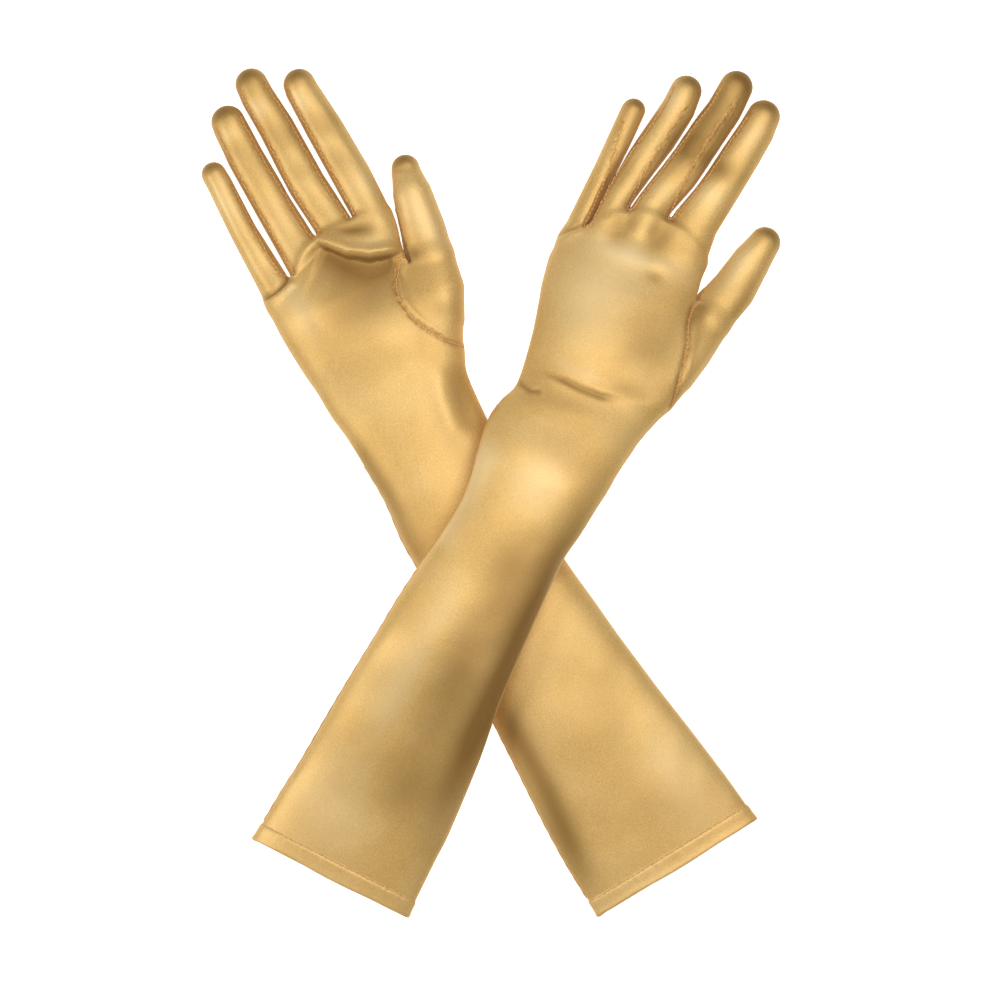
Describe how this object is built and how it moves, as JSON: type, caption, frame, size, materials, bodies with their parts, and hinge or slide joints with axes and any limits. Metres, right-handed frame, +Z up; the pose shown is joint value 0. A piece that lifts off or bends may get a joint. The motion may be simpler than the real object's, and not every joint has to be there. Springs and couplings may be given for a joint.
{
  "type": "opera gloves",
  "caption": "Pair of elbow-length stretch-satin evening gloves, softly filled, lying crossed with one over the other; wrists and fingers fold.",
  "frame": {"origin": "on the table under the crossing, at the flat underside of the right sleeve", "axes": "+Z up from the table, +Y towards the fingertips, +X to the side of the left hand; metres"},
  "size_m": [0.2913, 0.4329, 0.0547],
  "materials": {
    "gold_satin": "smooth stretch satin with a soft directional sheen",
    "fourchette_satin": "the same satin, turned across its weave",
    "thread": "matte twisted polyester sewing thread"
  },
  "bodies": {
    "right_arm": {"right_sleeve": "gold_satin", "right_hem_band": "gold_satin", "right_hem_stitching": "thread", "right_side_seam": "fourchette_satin"},
    "right_hand": {"right_hand_panel": "gold_satin", "right_thumb_gusset": "gold_satin", "right_thumb_seam_stitching": "thread"},
    "right_index": {"right_index_stall": "gold_satin", "right_index_outer_fourchette": "fourchette_satin", "right_index_outer_stitching": "thread"},
    "right_middle": {"right_middle_stall": "gold_satin", "right_middle_inner_fourchette": "fourchette_satin", "right_middle_inner_stitching": "thread", "right_middle_outer_fourchette": "fourchette_satin", "right_middle_outer_stitching": "thread"},
    "right_ring": {"right_ring_stall": "gold_satin", "right_ring_inner_fourchette": "fourchette_satin", "right_ring_inner_stitching": "thread", "right_ring_outer_fourchette": "fourchette_satin", "right_ring_outer_stitching": "thread"},
    "right_little": {"right_little_stall": "gold_satin", "right_little_inner_fourchette": "fourchette_satin", "right_little_inner_stitching": "thread"},
    "right_thumb": {"right_thumb_stall": "gold_satin"},
    "left_arm": {"left_sleeve": "gold_satin", "left_hem_band": "gold_satin", "left_hem_stitching": "thread", "left_side_seam": "fourchette_satin"},
    "left_hand": {"left_hand_panel": "gold_satin", "left_thumb_gusset": "gold_satin", "left_thumb_seam_stitching": "thread"},
    "left_index": {"left_index_stall": "gold_satin", "left_index_outer_fourchette": "fourchette_satin", "left_index_outer_stitching": "thread"},
    "left_middle": {"left_middle_stall": "gold_satin", "left_middle_inner_fourchette": "fourchette_satin", "left_middle_inner_stitching": "thread", "left_middle_outer_fourchette": "fourchette_satin", "left_middle_outer_stitching": "thread"},
    "left_ring": {"left_ring_stall": "gold_satin", "left_ring_inner_fourchette": "fourchette_satin", "left_ring_inner_stitching": "thread", "left_ring_outer_fourchette": "fourchette_satin", "left_ring_outer_stitching": "thread"},
    "left_little": {"left_little_stall": "gold_satin", "left_little_inner_fourchette": "fourchette_satin", "left_little_inner_stitching": "thread"},
    "left_thumb": {"left_thumb_stall": "gold_satin"}
  },
  "joints": [
    {"name": "left_lift", "type": "slide", "parent": "right_arm", "child": "left_arm", "axis": [0, 0, 1], "range_m": [0, 0.15]},
    {"name": "right_wrist", "type": "hinge", "parent": "right_arm", "child": "right_hand", "pos_m": [-0.0479, 0.0918, 0.025], "axis": [0.878, 0.4787, 0], "range_deg": [0, 60]},
    {"name": "right_index_fold", "type": "hinge", "parent": "right_hand", "child": "right_index", "pos_m": [-0.06231, 0.18132, 0.015], "axis": [0.8846, 0.4664, 0], "range_deg": [0, 75]},
    {"name": "right_middle_fold", "type": "hinge", "parent": "right_hand", "child": "right_middle", "pos_m": [-0.08297, 0.1745, 0.015], "axis": [0.8878, 0.4602, 0], "range_deg": [0, 75]},
    {"name": "right_ring_fold", "type": "hinge", "parent": "right_hand", "child": "right_ring", "pos_m": [-0.09906, 0.1614, 0.015], "axis": [0.8894, 0.4571, 0], "range_deg": [0, 75]},
    {"name": "right_little_fold", "type": "hinge", "parent": "right_hand", "child": "right_little", "pos_m": [-0.11081, 0.14201, 0.013], "axis": [0.8878, 0.4602, 0], "range_deg": [0, 75]},
    {"name": "right_thumb_fold", "type": "hinge", "parent": "right_hand", "child": "right_thumb", "pos_m": [-0.03106, 0.1593, 0.017], "axis": [0.9583, 0.2857, 0], "range_deg": [0, 50]},
    {"name": "left_wrist", "type": "hinge", "parent": "left_arm", "child": "left_hand", "pos_m": [0.0535, 0.0862, 0.04], "axis": [0.9686, -0.2487, 0], "range_deg": [0, 60]},
    {"name": "left_index_fold", "type": "hinge", "parent": "left_hand", "child": "left_index", "pos_m": [0.10088, 0.16861, 0.015], "axis": [0.8517, -0.524, 0], "range_deg": [0, 75]},
    {"name": "left_middle_fold", "type": "hinge", "parent": "left_hand", "child": "left_middle", "pos_m": [0.08231, 0.1775, 0.015], "axis": [0.848, -0.5299, 0], "range_deg": [0, 75]},
    {"name": "left_ring_fold", "type": "hinge", "parent": "left_hand", "child": "left_ring", "pos_m": [0.06221, 0.17884, 0.015], "axis": [0.8678, -0.497, 0], "range_deg": [0, 75]},
    {"name": "left_little_fold", "type": "hinge", "parent": "left_hand", "child": "left_little", "pos_m": [0.04224, 0.17385, 0.01307], "axis": [0.8846, -0.4664, 0], "range_deg": [0, 75]},
    {"name": "left_thumb_fold", "type": "hinge", "parent": "left_hand", "child": "left_thumb", "pos_m": [0.11614, 0.1267, 0.01948], "axis": [0.866, -0.5, 0], "range_deg": [0, 50]}
  ]
}
